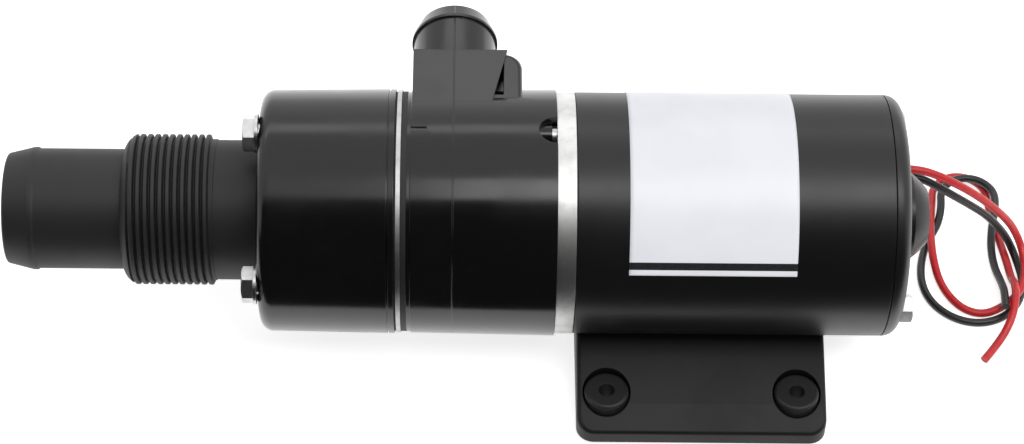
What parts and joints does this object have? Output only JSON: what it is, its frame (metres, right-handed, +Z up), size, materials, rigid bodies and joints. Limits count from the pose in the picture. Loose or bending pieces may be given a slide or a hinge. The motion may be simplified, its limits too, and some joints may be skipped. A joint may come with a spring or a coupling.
{
  "type": "waste water pump",
  "caption": "Electric macerator pump with flexible impeller: inlet thread and hose spigot, side outlet spigot, round motor on a moulded base with rubber feet.",
  "frame": {"origin": "centre of the four mounting holes, on the surface that the feet stand on", "axes": "+X along the pump from inlet to motor, +Y towards the outlet's side, +Z up"},
  "size_m": [0.3304, 0.122, 0.0843],
  "materials": {
    "housing_plastic": "moulded black plastic, polished outside",
    "base_plastic": "moulded black plastic, fine matte",
    "plate_steel": "bright sheet steel",
    "gasket_rubber": "black rubber",
    "zinc_steel": "bright zinc plate",
    "bracket_aluminium": "turned aluminium",
    "can_paint": "satin black paint on steel",
    "label_film": "white film with black bands",
    "machined_steel": "ground steel",
    "impeller_rubber": "black rubber",
    "brass": "plain brass",
    "copper": null,
    "laminated_steel": "stacked steel sheets",
    "ferrite": "sintered magnet",
    "insulation": "brown insulating board",
    "carbon": "pressed carbon",
    "cage_nylon": "natural nylon",
    "foot_rubber": "matte black rubber",
    "lead_red": "soft PVC sleeve",
    "lead_black": "soft PVC sleeve"
  },
  "bodies": {
    "pump": {"inlet_housing": "housing_plastic", "pump_body": "housing_plastic", "head_seal": "gasket_rubber", "body_gasket": "gasket_rubber", "shaft_seal": "gasket_rubber", "lead_grommet": "gasket_rubber", "chopper_plate": "plate_steel", "wear_plate": "plate_steel", "head_bolts": "zinc_steel", "head_washers": "zinc_steel", "through_bolts": "zinc_steel", "base_screws": "zinc_steel", "garter_spring": "machined_steel", "front_bearing_outer": "machined_steel", "rear_bearing_outer": "machined_steel", "wave_washer": "machined_steel", "front_bracket": "bracket_aluminium", "motor_can": "can_paint", "end_bell": "can_paint", "field_magnets": "ferrite", "inner_leads": "lead_black", "brush_plate": "insulation", "brush_boxes": "brass", "brush_spring_a": "machined_steel", "brush_spring_b": "machined_steel", "thermal_cutout": "insulation", "label": "label_film", "base": "base_plastic", "foot_grommets": "foot_rubber", "red_lead": "lead_red", "black_lead": "lead_black"},
    "rotor": {"shaft": "machined_steel", "impeller_key": "machined_steel", "impeller_insert": "brass", "impeller": "impeller_rubber", "cutter_blade": "machined_steel", "cutter_washer": "machined_steel", "cutter_nut": "machined_steel", "slinger": "gasket_rubber", "armature_core": "laminated_steel", "armature_windings": "copper", "commutator": "copper", "commutator_hub": "insulation", "front_bearing_inner": "machined_steel", "rear_bearing_inner": "machined_steel"},
    "front_balls": {"front_bearing_balls": "machined_steel", "front_bearing_cage": "cage_nylon"},
    "rear_balls": {"rear_bearing_balls": "machined_steel", "rear_bearing_cage": "cage_nylon"},
    "brush_a": {"brush_a": "carbon"},
    "brush_b": {"brush_b": "carbon"}
  },
  "joints": [
    {"name": "rotor_spin", "type": "hinge", "parent": "pump", "child": "rotor", "pos_m": [0, 0, 0.0455], "axis": [1, 0, 0], "continuous": true, "deforming": ["impeller"]},
    {"name": "front_cage_orbit", "type": "hinge", "parent": "pump", "child": "front_balls", "pos_m": [0, 0, 0.0455], "axis": [1, 0, 0], "continuous": true},
    {"name": "rear_cage_orbit", "type": "hinge", "parent": "pump", "child": "rear_balls", "pos_m": [0, 0, 0.0455], "axis": [1, 0, 0], "continuous": true},
    {"name": "brush_a_wear", "type": "slide", "parent": "pump", "child": "brush_a", "axis": [0, -0.3746, 0.9272], "range_m": [0, 0.003], "stiffness_N_per_m": 400, "springref_m": -0.006, "deforming": ["brush_spring_a"]},
    {"name": "brush_b_wear", "type": "slide", "parent": "pump", "child": "brush_b", "axis": [0, 0.3746, -0.9272], "range_m": [0, 0.003], "stiffness_N_per_m": 400, "springref_m": -0.006, "deforming": ["brush_spring_b"]}
  ],
  "couplings": [
    {"joint": "front_cage_orbit", "follows": "rotor_spin", "ratio": 0.368},
    {"joint": "rear_cage_orbit", "follows": "rotor_spin", "ratio": 0.368}
  ]
}
